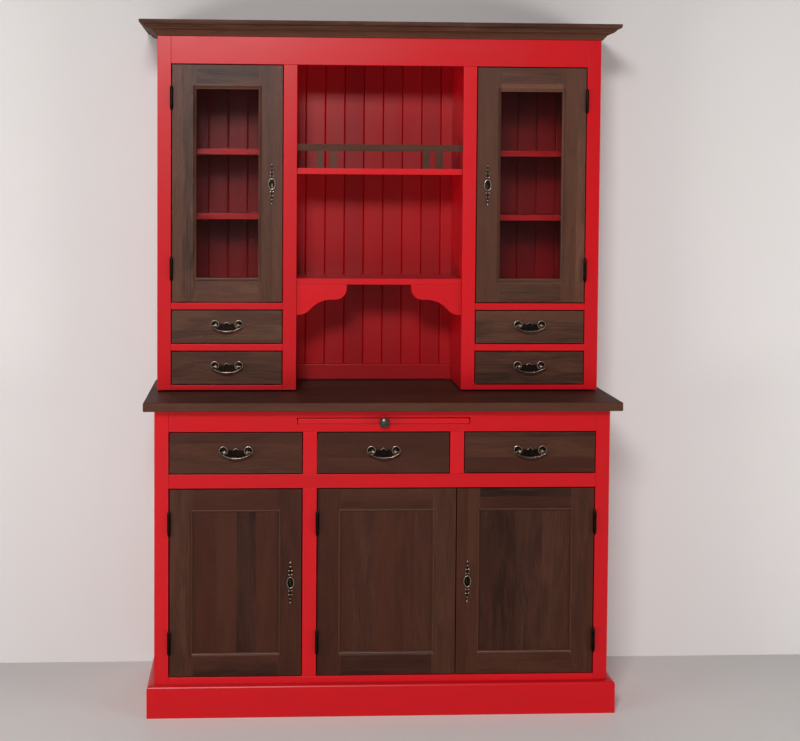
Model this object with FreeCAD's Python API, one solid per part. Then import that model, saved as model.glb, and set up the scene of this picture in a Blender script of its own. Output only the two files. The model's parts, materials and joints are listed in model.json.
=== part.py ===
"""Kitchen buffet cabinet: a base with drawers and doors, and a hutch that stands on its worktop.

Millimetres. Seen from the front, X runs to the right, Y to the back and Z up.
The origin is on the floor, under the middle of the whole cabinet.
"""
import FreeCAD, Part
import math
import os

from FreeCAD import Vector

# Overall sizes
base_width = 1300.0
base_depth = 430.0
worktop_height = 900.0
worktop_thickness = 25.0
worktop_overhang = 30.0
worktop_round = 3.0
hutch_side_step = 6.0
hutch_depth = 250.0

# Boards
carcass_board = 20.0
frame_board = 20.0
shelf_board = 18.0
back_board = 12.0
back_board_pitch = 60.0
back_board_groove = 2.5

# Base front, from the floor up and from the side inwards
plinth_height = 92.0
plinth_board = 20.0
plinth_round = 9.0
base_sill = 110.0
base_bottom_rail = 40.0
base_middle_rail = 40.0
base_drawer_opening = 121.0
base_top_rail = 62.0
base_stile = 40.0
base_shelf_height = 270.0
base_shelf_setback = 30.0

# Hutch front, from the worktop up and from the side inwards
hutch_stile = 40.0
hutch_rail = 20.0
hutch_drawer_opening = 102.0
hutch_door_opening = 702.0
hutch_top_rail = 81.0
hutch_foot_gap = 5.0
niche_width = 492.0
tower_shelf_heights = (263.0, 456.0)
tower_shelf_setback = 40.0
niche_shelf_heights = (336.0, 663.0)
niche_recess = 8.0
back_rail_height = 54.0
back_rail_board = 10.0
back_rail_chamfer = 4.0

# Gallery on the upper niche shelf
gallery_gap = 51.0
gallery_rail_height = 20.0
gallery_board = 10.0
gallery_post = 20.0
gallery_post_spacing = 40.0
gallery_pair_centre = 158.0

# Ogee bracket under the lower niche shelf
bracket_reach = 150.0
bracket_drop = 91.0
bracket_board = 20.0
bracket_toe = 4.0
bracket_waist = 45.0
bracket_nose = 34.0
bracket_flat = 12.0
bracket_hollow_share = 0.62

# Cornice profile, outwards and upwards from its foot
cornice_height = 42.0
cornice_reach = 50.0
cornice_foot = 6.0
cornice_foot_height = 5.0
cornice_fillet = 3.0
cornice_cove_reach = 22.0
cornice_cove_rise = 14.0
cornice_cove_hollow = 3.5
cornice_quirk = 2.0
cornice_bead = 6.0
cornice_ovolo = 8.0

# Clearances
front_gap = 3.0
hinge_gap = 3.5
running_gap = 0.3
box_gap = 2.0
drawer_back_gap = 23.0
pin_clearance = 0.05

# Drawer boxes
drawer_front_board = 20.0
drawer_side_board = 12.0
drawer_bottom_board = 6.0
drawer_bottom_lift = 8.0
drawer_headroom = 25.0
guide_height = 35.0

# Pull-out board
pull_board_width = 490.0
pull_board_length = 340.0
pull_board_thickness = 16.0
slot_height = 18.5
slot_side_gap = 2.0
slot_lift = 21.5
board_guide_lip = 8.0
board_guide_web = 12.0

# Doors
base_door_member = 66.0
glazed_door_member = 70.0
door_moulding = 9.0
door_moulding_depth = 6.0
door_quirk = 1.5
door_fillet = 3.0
door_lip = 8.0
door_rebate = 8.0
door_panel_board = 8.0
glass_thickness = 4.0
glazing_bead = 7.0

# Butt hinges
hinge_inset = 100.0
knuckle_radius = 5.0
knuckle_length = 12.0
knuckle_count = 5
knuckle_gap = 0.2
knuckle_stand = 0.3
hinge_pin_radius = 2.5
hinge_leaf = 1.2
hinge_leaf_depth = 18.0
finial_length = 6.0
finial_tip_radius = 1.8

# Escutcheons and lock cases
escutcheon_inset = 31.0
escutcheon_plate = 2.0
escutcheon_width = 22.0
escutcheon_core = 34.0
escutcheon_rim = 1.6
escutcheon_rim_inset = 1.2
escutcheon_pitch = 11.5
escutcheon_bead = 3.0
escutcheon_pair = 8.4
escutcheon_link = 1.5
escutcheon_spine = 3.6
escutcheon_ball = 3.7
keyhole_radius = 4.3
keyhole_slot = 5.0
keyhole_length = 19.0
lock_case_width = 38.0
lock_case_height = 62.0
lock_case_depth = 10.0

# Drawer pulls: a shaped plate with two posts, and a hanging bail
pull_post_spacing = 64.0
pull_lift = 5.0
pull_plate = 2.0
pull_lobe_radius = 13.0
pull_lobe_shift = 3.5
pull_lobe_lift = 2.0
pull_rim = 1.5
pull_crest = 11.0
pull_crest_half = 9.0
pull_crest_ridge = 1.0
pull_shoulder = 3.5
pull_skirt = 8.0
pull_belly = 17.0
pull_post_radius = 4.2
pull_post_reach = 14.0
pull_cap_radius = 5.0
bail_drop = 18.0
bail_radius = 2.0
bail_arm_gap = 3.0
bail_turn = 3.2
bail_grip_radius = 3.4
bail_grip_half = 13.0
bail_collar_radius = 3.1

# Knob of the pull-out board
knob_radius = 15.5
knob_reach = 26.0
knob_stem_radius = 5.5
knob_rose_radius = 9.0
knob_rose = 3.0
knob_head = 14.0
knob_rim = 13.0
knob_rim_drop = 2.0
knob_dome = 11.5
knob_dome_rise = 3.5

# Planes and heights worked out from the sizes above
back_y = (base_depth + worktop_overhang) / 2
base_front = back_y - base_depth
base_inner = base_front + frame_board
hutch_front = back_y - hutch_depth
hutch_inner = hutch_front + frame_board
boards_y = back_y - back_board
base_side = base_width / 2
hutch_side = base_side + hutch_side_step
hutch_foot = worktop_height + hutch_foot_gap
base_top = worktop_height - worktop_thickness
base_drawer_top = base_top - base_top_rail
base_drawer_sill = base_drawer_top - base_drawer_opening
base_door_top = base_drawer_sill - base_middle_rail
base_drawer_width = (base_width - 4 * base_stile) / 3
muntin_inner = base_drawer_width / 2
muntin_outer = muntin_inner + base_stile
base_opening_side = base_side - base_stile
hutch_opening_side = hutch_side - hutch_stile
niche_side = niche_width / 2
tower_inner = niche_side + hutch_stile
hutch_drawer_sills = [
    worktop_height + hutch_rail,
    worktop_height + 2 * hutch_rail + hutch_drawer_opening,
]
hutch_door_sill = hutch_drawer_sills[1] + hutch_drawer_opening + hutch_rail
hutch_door_top = hutch_door_sill + hutch_door_opening
hutch_top = hutch_door_top + hutch_top_rail
slot_sill = base_drawer_top + slot_lift
slot_half = pull_board_width / 2 + slot_side_gap


def board(x0, x1, y0, y1, z0, z1):
    """A rectangular board between two corners."""
    return Part.makeBox(x1 - x0, y1 - y0, z1 - z0, Vector(x0, y0, z0))


def both_sides(solid):
    """A solid and its mirror image in the middle plane of the cabinet."""
    return [solid, solid.mirror(Vector(0, 0, 0), Vector(1, 0, 0))]


def rod(start, end, radius):
    """A round rod from one point to another."""
    return Part.makeCylinder(radius, (end - start).Length, start, end - start)


def outline(edges, depth):
    """A solid made by pushing a closed outline along a vector."""
    return Part.Face(Part.Wire(edges)).extrude(depth)


def polygon(points, depth):
    """A solid made by pushing a polygon along a vector."""
    return Part.Face(Part.makePolygon(points + points[:1])).extrude(depth)


def line(a, b):
    return Part.LineSegment(a, b).toShape()


def arc(a, middle, b):
    return Part.Arc(a, middle, b).toShape()


def export(node, solids):
    """Write the separate solids of one node."""
    Part.makeCompound(solids).exportStep(os.path.join("parts", node + ".step"))


def board_row(half_width, z0, z1):
    """Tongue-and-groove back boards side by side, with a V groove at each joint on the inner face."""
    count = max(1, round(2 * half_width / back_board_pitch))
    width = 2 * half_width / count
    row = []
    for index in range(count):
        x0 = -half_width + index * width
        x1 = x0 + width
        section = [
            Vector(x0, back_y, z0),
            Vector(x1, back_y, z0),
            Vector(x1, boards_y + back_board_groove, z0),
            Vector(x1 - back_board_groove, boards_y, z0),
            Vector(x0 + back_board_groove, boards_y, z0),
            Vector(x0, boards_y + back_board_groove, z0),
        ]
        row.append(polygon(section, Vector(0, 0, z1 - z0)))
    return row


def mitred_band(profile, side, front, reach):
    """A moulding round the front and both sides, mitred at the two front corners.

    profile(place) gives the closed outline, with place(out, up) as a point of it.
    """
    span = reach + frame_board
    tall = Vector(0, 0, 2 * hutch_top)
    front_edges = profile(lambda out, up: Vector(-side - span, front - out, up))
    front_piece = outline(front_edges, Vector(2 * (side + span), 0, 0))
    side_edges = profile(lambda out, up: Vector(side + out, front - span, up))
    side_piece = outline(side_edges, Vector(0, back_y - front + span, 0))
    rear = Vector(side - span, front + span, 0)
    nose = Vector(side + span, front - span, 0)
    beyond_side = polygon([rear, nose, Vector(side + 2 * span, front + span, 0)], tall)
    before_front = polygon([rear, nose, Vector(side - span, front - 2 * span, 0)], tall)
    for cutter in both_sides(beyond_side):
        front_piece = front_piece.cut(cutter)
    return [front_piece] + both_sides(side_piece.cut(before_front))


def make_base_carcass():
    side = board(base_side - carcass_board, base_side, base_inner, back_y, 0, base_top)
    dust_deck_bottom = base_drawer_sill - carcass_board
    divider_left = -(muntin_inner + muntin_outer + carcass_board) / 2
    divider_right = divider_left + carcass_board
    divider = board(divider_left, divider_right, base_inner, boards_y, base_sill, dust_deck_bottom)
    export("base_uprights", both_sides(side) + [divider])

    inside = base_side - carcass_board
    decks = []
    for deck_top in (base_sill, base_drawer_sill):
        decks.append(board(-inside, inside, base_inner, boards_y, deck_top - carcass_board, deck_top))
    export("base_decks", decks)
    export("base_back", board_row(inside, base_sill - carcass_board, base_top))

    shelf_top = base_sill + base_shelf_height
    shelves = []
    for x0, x1 in ((-inside, divider_left), (divider_right, inside)):
        shelves.append(board(x0, x1, base_inner + base_shelf_setback, boards_y,
                             shelf_top - shelf_board, shelf_top))
    export("base_shelves", shelves)


def make_base_face_frame():
    def member(x0, x1, z0, z1):
        return board(x0, x1, base_front, base_inner, z0, z1)

    slot = member(-slot_half, slot_half, slot_sill, slot_sill + slot_height)
    members = both_sides(member(base_opening_side, base_side, 0, base_top))
    members += both_sides(member(muntin_inner, muntin_outer, base_drawer_sill, base_drawer_top))
    members.append(member(-muntin_outer, -muntin_inner, base_sill, base_door_top))
    reach = base_opening_side
    members.append(member(-reach, reach, base_sill - base_bottom_rail, base_sill))
    members.append(member(-reach, reach, base_door_top, base_drawer_sill))
    members.append(member(-reach, reach, base_drawer_top, base_top).cut(slot))
    export("base_face_frame", members)


def make_plinth():
    def profile(place):
        bend = plinth_round * (1 - math.sqrt(0.5))
        foot_in = place(0, 0)
        foot_out = place(plinth_board, 0)
        shoulder = place(plinth_board, plinth_height - plinth_round)
        middle = place(plinth_board - bend, plinth_height - bend)
        top_out = place(plinth_board - plinth_round, plinth_height)
        top_in = place(0, plinth_height)
        return [line(foot_in, foot_out), line(foot_out, shoulder), arc(shoulder, middle, top_out),
                line(top_out, top_in), line(top_in, foot_in)]

    export("plinth", mitred_band(profile, base_side, base_front, plinth_board))


def make_worktop():
    half = base_side + worktop_overhang
    top = board(-half, half, base_front - worktop_overhang, back_y, base_top, worktop_height)
    rounded = [edge for edge in top.Edges if edge.CenterOfMass.y < back_y - worktop_round]
    export("worktop", [top.makeFillet(worktop_round, rounded)])


def make_drawer_guides():
    """Side guides of every drawer, and the two grooved guides of the pull-out board."""
    guides = []
    base_z = (base_drawer_sill, base_drawer_sill + guide_height)
    for x0, x1 in ((base_opening_side, base_side - carcass_board), (muntin_inner, muntin_outer)):
        guides += both_sides(board(x0, x1, base_inner, boards_y, *base_z))
    outer_x = (hutch_opening_side, hutch_side - carcass_board)
    inner_x = (niche_side + carcass_board, tower_inner)
    for sill in hutch_drawer_sills:
        for x0, x1 in (outer_x, inner_x):
            guides += both_sides(board(x0, x1, hutch_inner, boards_y, sill, sill + guide_height))
    guide_end = base_front + pull_board_length
    groove = board(slot_half - board_guide_lip, slot_half, base_inner, guide_end,
                   slot_sill, slot_sill + slot_height)
    guide = board(slot_half - board_guide_lip, slot_half + board_guide_web, base_inner, guide_end,
                  slot_sill - board_guide_lip, base_top)
    guides += both_sides(guide.cut(groove))
    export("drawer_guides", guides)


def make_pull_out_board():
    half = pull_board_width / 2
    bottom = slot_sill + running_gap
    export("pull_out_board", [board(-half, half, base_front, base_front + pull_board_length,
                                    bottom, bottom + pull_board_thickness)])
    height = bottom + pull_board_thickness / 2

    def place(out, radius):
        return Vector(0, base_front - out, height + radius)

    head_back = knob_reach - knob_head
    groove = knob_reach - knob_dome_rise
    dome_radius = (knob_dome ** 2 + knob_dome_rise ** 2) / (2 * knob_dome_rise)
    half_angle = math.asin(knob_dome / dome_radius) / 2
    dome_middle = place(knob_reach - dome_radius * (1 - math.cos(half_angle)),
                        dome_radius * math.sin(half_angle))
    section = [
        line(place(0, 0), place(0, knob_rose_radius)),
        line(place(0, knob_rose_radius), place(knob_rose, knob_stem_radius)),
        line(place(knob_rose, knob_stem_radius), place(head_back, knob_stem_radius)),
        arc(place(head_back, knob_stem_radius), place(head_back + knob_head / 2, knob_radius),
            place(knob_reach - knob_rim_drop, knob_rim)),
        line(place(knob_reach - knob_rim_drop, knob_rim), place(groove, knob_dome)),
        arc(place(groove, knob_dome), dome_middle, place(knob_reach, 0)),
        line(place(knob_reach, 0), place(0, 0)),
    ]
    knob = Part.Face(Part.Wire(section)).revolve(place(0, 0), Vector(0, 1, 0), 360)
    export("board_knob", [knob])


def make_hutch_carcass():
    side = board(hutch_side - carcass_board, hutch_side, hutch_inner, back_y, worktop_height, hutch_top)
    lid_bottom = hutch_top - carcass_board
    partition = board(niche_side, niche_side + carcass_board, hutch_inner, boards_y,
                      hutch_foot, lid_bottom)
    export("hutch_uprights", both_sides(side) + both_sides(partition))
    inside = hutch_side - carcass_board
    export("hutch_top", [board(-inside, inside, hutch_inner, boards_y, lid_bottom, hutch_top)])

    rail_top = worktop_height + back_rail_height
    rail_front = boards_y - back_rail_board
    rail_section = [
        Vector(-niche_side, boards_y, hutch_foot),
        Vector(-niche_side, rail_front, hutch_foot),
        Vector(-niche_side, rail_front, rail_top - back_rail_chamfer),
        Vector(-niche_side, rail_front + back_rail_chamfer, rail_top),
        Vector(-niche_side, boards_y, rail_top),
    ]
    back_rail = polygon(rail_section, Vector(2 * niche_side, 0, 0))
    export("hutch_back", board_row(inside, worktop_height, hutch_top) + [back_rail])


def make_hutch_face_frame():
    def member(x0, x1, z0, z1):
        return board(x0, x1, hutch_front, hutch_inner, max(z0, hutch_foot), z1)

    stiles = both_sides(member(hutch_opening_side, hutch_side, hutch_foot, hutch_top))
    stiles += both_sides(member(niche_side, tower_inner, hutch_foot, hutch_door_top))
    export("hutch_stiles", stiles)
    rails = [member(-hutch_opening_side, hutch_opening_side, hutch_door_top, hutch_top)]
    for rail_top in hutch_drawer_sills + [hutch_door_sill]:
        rails += both_sides(member(tower_inner, hutch_opening_side, rail_top - hutch_rail, rail_top))
    export("hutch_rails", rails)


def make_hutch_shelves():
    tower_x = (niche_side + carcass_board, hutch_side - carcass_board)
    shelves = []
    for deck_top in hutch_drawer_sills + [hutch_door_sill]:
        deck_bottom = max(deck_top - hutch_rail, hutch_foot)
        shelves += both_sides(board(*tower_x, hutch_inner, boards_y, deck_bottom, deck_top))
    for height in tower_shelf_heights:
        shelf_top = hutch_door_sill + height
        shelves += both_sides(board(*tower_x, hutch_inner + tower_shelf_setback, boards_y,
                                    shelf_top - shelf_board, shelf_top))
    for height in niche_shelf_heights:
        shelf_top = worktop_height + height
        shelves.append(board(-niche_side, niche_side, hutch_front + niche_recess, boards_y,
                             shelf_top - shelf_board, shelf_top))
    export("hutch_shelves", shelves)


def make_shelf_brackets():
    """Ogee brackets: a round nose under the shelf, a waist, and a toe against the stile."""
    shelf_bottom = worktop_height + niche_shelf_heights[0] - shelf_board

    def place(inwards, down):
        return Vector(niche_side - inwards, hutch_front + niche_recess, shelf_bottom - down)

    nose_x = bracket_reach - bracket_nose
    nose_top = bracket_waist - bracket_nose
    bulge = bracket_nose * math.sqrt(0.5)
    shoulder_x = nose_x - bracket_flat
    ogee_run = shoulder_x - bracket_toe
    ogee_drop = bracket_drop - bracket_waist
    hollow = bracket_hollow_share
    swell = 1 - bracket_hollow_share
    middle_x = shoulder_x - hollow * ogee_run
    middle_drop = bracket_waist + hollow * ogee_drop
    half_turn = math.atan2(ogee_drop, ogee_run)
    ogee_radius = ogee_run / math.sin(2 * half_turn)
    run = ogee_radius * math.sin(half_turn)
    sway = ogee_radius * (1 - math.cos(half_turn))
    edges = [
        line(place(0, 0), place(bracket_reach, 0)),
        line(place(bracket_reach, 0), place(bracket_reach, nose_top)),
        arc(place(bracket_reach, nose_top), place(nose_x + bulge, nose_top + bulge),
            place(nose_x, bracket_waist)),
        line(place(nose_x, bracket_waist), place(shoulder_x, bracket_waist)),
        arc(place(shoulder_x, bracket_waist),
            place(shoulder_x - hollow * run, bracket_waist + hollow * sway),
            place(middle_x, middle_drop)),
        arc(place(middle_x, middle_drop),
            place(bracket_toe + swell * run, bracket_drop - swell * sway),
            place(bracket_toe, bracket_drop)),
        line(place(bracket_toe, bracket_drop), place(0, bracket_drop)),
        line(place(0, bracket_drop), place(0, 0)),
    ]
    export("shelf_brackets", both_sides(outline(edges, Vector(0, bracket_board, 0))))


def make_gallery():
    shelf_top = worktop_height + niche_shelf_heights[1]
    front = hutch_front + niche_recess
    rail_bottom = shelf_top + gallery_gap
    pieces = [board(-niche_side, niche_side, front, front + gallery_board,
                    rail_bottom, rail_bottom + gallery_rail_height)]
    for shift in (-gallery_post_spacing / 2, gallery_post_spacing / 2):
        middle = gallery_pair_centre + shift
        pieces += both_sides(board(middle - gallery_post / 2, middle + gallery_post / 2,
                                   front, front + gallery_board, shelf_top, rail_bottom))
    export("gallery", pieces)


def make_cornice():
    """Crown moulding: a foot, a cove, a bead and a wide ovolo under the top fillet."""
    def profile(place):
        diagonal = math.sqrt(0.5)
        cove_start = (cornice_foot + cornice_fillet, cornice_foot_height)
        cove_end = (cove_start[0] + cornice_cove_reach, cove_start[1] + cornice_cove_rise)
        hollow = cornice_cove_hollow / math.hypot(cornice_cove_reach, cornice_cove_rise)
        cove_middle = (cove_start[0] + cornice_cove_reach / 2 - hollow * cornice_cove_rise,
                       cove_start[1] + cornice_cove_rise / 2 + hollow * cornice_cove_reach)
        bead_start = (cove_end[0], cove_end[1] + cornice_quirk)
        bead_end = (bead_start[0] + cornice_bead, bead_start[1] + cornice_bead)
        bead_middle = (bead_start[0] + cornice_bead * diagonal,
                       bead_start[1] + cornice_bead * (1 - diagonal))
        soffit = bead_end[1] + cornice_quirk
        ovolo_start = (cornice_reach - cornice_ovolo, soffit)
        ovolo_end = (cornice_reach, soffit + cornice_ovolo)
        ovolo_middle = (ovolo_start[0] + cornice_ovolo * diagonal,
                        ovolo_start[1] + cornice_ovolo * (1 - diagonal))
        points = [(-frame_board, 0), (cornice_foot, 0), (cornice_foot, cornice_foot_height), cove_start,
                  cove_end, bead_start, bead_end, (bead_end[0], soffit), ovolo_start, ovolo_end,
                  (cornice_reach, cornice_height), (-frame_board, cornice_height)]
        bends = {cove_start: cove_middle, bead_start: bead_middle, ovolo_start: ovolo_middle}
        edges = []
        for start, end in zip(points, points[1:] + points[:1]):
            a = place(start[0], hutch_top + start[1])
            b = place(end[0], hutch_top + end[1])
            if start in bends:
                middle = bends[start]
                edges.append(arc(a, place(middle[0], hutch_top + middle[1]), b))
            else:
                edges.append(line(a, b))
        return edges

    export("cornice", mitred_band(profile, hutch_side, hutch_front, cornice_reach))


def make_pull(x, face, height):
    """The shaped plate with raised lobes and two capped posts, and the bail that hangs in the posts."""
    half = pull_post_spacing / 2
    lobe_x = half + pull_lobe_shift

    def place(across, up, out=0.0):
        return Vector(x + across, face - out, height + up)

    def hang(across, up):
        return place(across, up, pull_post_reach)

    belly = [
        line(place(-lobe_x, -pull_skirt), place(-lobe_x, pull_shoulder)),
        line(place(-lobe_x, pull_shoulder), place(-pull_crest_half, pull_shoulder)),
        line(place(-pull_crest_half, pull_shoulder), place(0, pull_crest)),
        line(place(0, pull_crest), place(pull_crest_half, pull_shoulder)),
        line(place(pull_crest_half, pull_shoulder), place(lobe_x, pull_shoulder)),
        line(place(lobe_x, pull_shoulder), place(lobe_x, -pull_skirt)),
        arc(place(lobe_x, -pull_skirt), place(0, -pull_belly), place(-lobe_x, -pull_skirt)),
    ]
    plate = outline(belly, Vector(0, -pull_plate, 0))
    ridge_top = pull_crest - 2 * pull_crest_ridge
    ridge_tip = Part.makeSphere(pull_crest_ridge, place(0, ridge_top, pull_plate))
    for sign in (-1, 1):
        lobe_at = place(sign * lobe_x, pull_lobe_lift)
        lobe = Part.makeCylinder(pull_lobe_radius, pull_plate, lobe_at, Vector(0, -1, 0))
        rim = Part.makeTorus(pull_lobe_radius - pull_rim, pull_rim,
                             place(sign * lobe_x, pull_lobe_lift, pull_plate), Vector(0, -1, 0))
        ridge = rod(place(0, ridge_top, pull_plate),
                    place(sign * pull_crest_half, pull_shoulder, pull_plate), pull_crest_ridge)
        post = rod(place(sign * half, 0), hang(sign * half, 0), pull_post_radius)
        cap = Part.makeSphere(pull_cap_radius, hang(sign * half, 0))
        plate = plate.fuse([lobe, rim.common(rim_room(x, face, height, lobe_x)), ridge, post, cap])
    pin_reach = half - pull_post_radius
    stub_x = half + pull_cap_radius + bail_arm_gap
    hole = rod(hang(-stub_x, 0), hang(stub_x, 0), bail_radius + pin_clearance)
    plate = plate.fuse(ridge_tip).cut(hole).removeSplitter()

    # The bow of the bail is one arc that meets a tight turn at each end
    turn_drop = bail_drop - bail_turn
    bow_radius = (stub_x ** 2 + turn_drop ** 2 - bail_turn ** 2) / (2 * (turn_drop - bail_turn))
    bow_up = bow_radius - bail_drop
    end_angle = math.atan2(-bail_turn - bow_up, stub_x)
    turn_angle = (math.pi / 2 + end_angle) / 2

    def on_bow(angle):
        return hang(bow_radius * math.cos(angle), bow_up + bow_radius * math.sin(angle))

    edges = [arc(on_bow(end_angle), hang(0, -bail_drop), on_bow(math.pi - end_angle))]
    for sign, bow_end in ((-1, on_bow(math.pi - end_angle)), (1, on_bow(end_angle))):
        stub_end = hang(sign * stub_x, 0)
        turn_middle = hang(sign * (stub_x + bail_turn * math.cos(turn_angle)),
                           bail_turn * (math.sin(turn_angle) - 1))
        edges.append(line(hang(sign * pin_reach, 0), stub_end))
        edges.append(arc(stub_end, turn_middle, bow_end))
    path = Part.Wire(Part.sortEdges(edges)[0])
    ring = Part.Wire(Part.makeCircle(bail_radius, hang(-pin_reach, 0), Vector(1, 0, 0)))
    wire = path.makePipeShell([ring], True, False)

    grip_angle = math.asin(bail_grip_half / bow_radius)
    grip_start = on_bow(-math.pi / 2 - grip_angle)
    grip_end = on_bow(-math.pi / 2 + grip_angle)
    grip_path = Part.Wire(arc(grip_start, hang(0, -bail_drop), grip_end))
    grip_ring = Part.Wire(Part.makeCircle(bail_grip_radius, grip_start,
                                          Vector(math.cos(grip_angle), 0, -math.sin(grip_angle))))
    grip = grip_path.makePipeShell([grip_ring], True, False)
    collar_angle = grip_angle + bail_collar_radius / 2 / bow_radius
    collars = []
    for sign in (-1, 1):
        collar_at = on_bow(-math.pi / 2 + sign * collar_angle)
        collars.append(Part.makeSphere(bail_collar_radius, collar_at, Vector(1, 0, 0)))
    bail = wire.fuse([grip] + collars).removeSplitter()
    return plate, bail


def rim_room(x, face, height, lobe_x):
    """The space in front of a drawer face that the raised rims of a pull may fill."""
    reach = lobe_x + 2 * pull_lobe_radius
    return board(x - reach, x + reach, face - pull_plate - 2 * pull_rim, face,
                 height - 2 * pull_lobe_radius, height + 2 * pull_lobe_radius)


def make_drawer(name, x0, x1, face, sill, opening):
    """A drawer front flush in its opening, the box behind it, and its pull and bail."""
    front_back = face + drawer_front_board
    front = board(x0 + front_gap, x1 - front_gap, face, front_back,
                  sill + front_gap, sill + opening - front_gap)
    export(name + "_front", [front])

    left = x0 + box_gap
    right = x1 - box_gap
    bottom = sill + running_gap
    top = sill + opening - drawer_headroom
    rear = boards_y - drawer_back_gap
    inner_left = left + drawer_side_board
    inner_right = right - drawer_side_board
    floor_z = bottom + drawer_bottom_lift
    box = [
        board(left, inner_left, front_back, rear, bottom, top),
        board(inner_right, right, front_back, rear, bottom, top),
        board(inner_left, inner_right, rear - drawer_side_board, rear, bottom, top),
        board(inner_left, inner_right, front_back, rear - drawer_side_board,
              floor_z, floor_z + drawer_bottom_board),
    ]
    export(name + "_box", box)

    plate, bail = make_pull((x0 + x1) / 2, face, sill + opening / 2 + pull_lift)
    export(name + "_pull", [plate])
    export(name + "_bail", [bail])


def make_drawers():
    columns = (
        ("left", -base_opening_side, -muntin_outer),
        ("centre", -muntin_inner, muntin_inner),
        ("right", muntin_outer, base_opening_side),
    )
    for place, x0, x1 in columns:
        make_drawer("base_drawer_" + place, x0, x1, base_front, base_drawer_sill, base_drawer_opening)
    for level, sill in zip(("lower", "upper"), hutch_drawer_sills):
        make_drawer("hutch_drawer_left_" + level, -hutch_opening_side, -tower_inner, hutch_front, sill,
                    hutch_drawer_opening)
        make_drawer("hutch_drawer_right_" + level, tower_inner, hutch_opening_side, hutch_front, sill,
                    hutch_drawer_opening)


def make_door_leaf(x0, x1, face, z0, z1, member, glazed):
    """Stiles, rails and a panel, or stiles, rails and glazing beads with the glass apart."""
    back = face + frame_board
    left = x0 + member
    right = x1 - member
    low = z0 + member
    high = z1 - member
    sight_cut = board(left, right, face, back, low, high)

    def rim(out, depth):
        """A closed rectangle round the sight opening, out from its edge and behind the face."""
        y = face + depth
        corners = [
            Vector(left - out, y, low - out),
            Vector(right + out, y, low - out),
            Vector(right + out, y, high + out),
            Vector(left - out, y, high + out),
        ]
        return Part.makePolygon(corners + corners[:1])

    quirk_rim = rim(door_moulding, door_quirk)
    quirk_cut = Part.makeLoft([rim(door_moulding, 0), quirk_rim], True, True)
    splay_cut = Part.makeLoft([quirk_rim, rim(door_fillet, door_moulding_depth)], True, True)
    lip_back = face + door_lip
    seat = (left - door_rebate, right + door_rebate)
    seat_z = (low - door_rebate, high + door_rebate)
    rebate_cut = board(*seat, lip_back, back, *seat_z)

    members = [
        board(x0, left, face, back, z0, z1),
        board(right, x1, face, back, z0, z1),
        board(left, right, face, back, z0, low),
        board(left, right, face, back, high, z1),
    ]
    cuts = [sight_cut, quirk_cut, splay_cut, rebate_cut]
    leaf = [piece.cut(cuts).removeSplitter() for piece in members]
    if not glazed:
        leaf.append(board(*seat, lip_back, lip_back + door_panel_board, *seat_z))
        return leaf, None
    glass_back = lip_back + glass_thickness
    glass = board(*seat, lip_back, glass_back, *seat_z)
    bead = glazing_bead
    for bead_x in ((seat[0], seat[0] + bead), (seat[1] - bead, seat[1])):
        leaf.append(board(*bead_x, glass_back, back, *seat_z))
    for bead_z in ((seat_z[0], seat_z[0] + bead), (seat_z[1] - bead, seat_z[1])):
        leaf.append(board(seat[0] + bead, seat[1] - bead, glass_back, back, *bead_z))
    return leaf, glass


def make_hinge(stile_x, towards_door, face, middle_z):
    """One butt hinge in the gap beside a stile: the frame leaf with its pin, and the door leaf."""
    axis_x = stile_x + towards_door * hinge_gap / 2
    axis_y = face - knuckle_radius - knuckle_stand
    half_length = knuckle_count * knuckle_length / 2
    start_z = middle_z - half_length
    end_z = middle_z + half_length

    def on_axis(z):
        return Vector(axis_x, axis_y, z)

    def leaf_plate(seat_x, gap_side_x):
        x0, x1 = sorted((seat_x, gap_side_x))
        return board(x0, x1, axis_y, face + hinge_leaf_depth, start_z, end_z)

    door_x = stile_x + towards_door * hinge_gap
    frame_leaf = leaf_plate(stile_x, stile_x + towards_door * hinge_leaf)
    door_leaf = leaf_plate(door_x, door_x - towards_door * hinge_leaf)
    pin = rod(on_axis(start_z), on_axis(end_z), hinge_pin_radius)
    bore = rod(on_axis(start_z), on_axis(end_z), hinge_pin_radius + pin_clearance)
    frame_knuckles = []
    door_knuckles = []
    for index in range(knuckle_count):
        low_z = start_z + index * knuckle_length
        high_z = low_z + knuckle_length
        clearing = rod(on_axis(low_z), on_axis(high_z), knuckle_radius + knuckle_gap)
        if index % 2 == 0:
            frame_knuckles.append(rod(on_axis(low_z), on_axis(high_z), knuckle_radius))
            door_leaf = door_leaf.cut(clearing)
        else:
            knuckle = rod(on_axis(low_z + knuckle_gap), on_axis(high_z - knuckle_gap), knuckle_radius)
            door_knuckles.append(knuckle)
            frame_leaf = frame_leaf.cut(clearing)
    finials = []
    for end_at, direction in ((on_axis(start_z), Vector(0, 0, -1)), (on_axis(end_z), Vector(0, 0, 1))):
        finials.append(Part.makeCone(knuckle_radius, finial_tip_radius, finial_length,
                                     end_at, direction))
        finials.append(Part.makeSphere(finial_tip_radius, end_at + direction * finial_length))
    frame_side = frame_leaf.fuse(frame_knuckles + finials + [pin]).removeSplitter()
    door_side = door_leaf.fuse(door_knuckles).cut(bore).removeSplitter()
    return frame_side, door_side


def keyhole(x, height, front, back):
    """The room of a keyhole from one plane to another: a round eye over a slot."""
    eye_z = height + keyhole_length / 2 - keyhole_radius
    eye = rod(Vector(x, front, eye_z), Vector(x, back, eye_z), keyhole_radius)
    slot = board(x - keyhole_slot / 2, x + keyhole_slot / 2, front, back,
                 height - keyhole_length / 2, eye_z)
    return [eye, slot]


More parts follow.
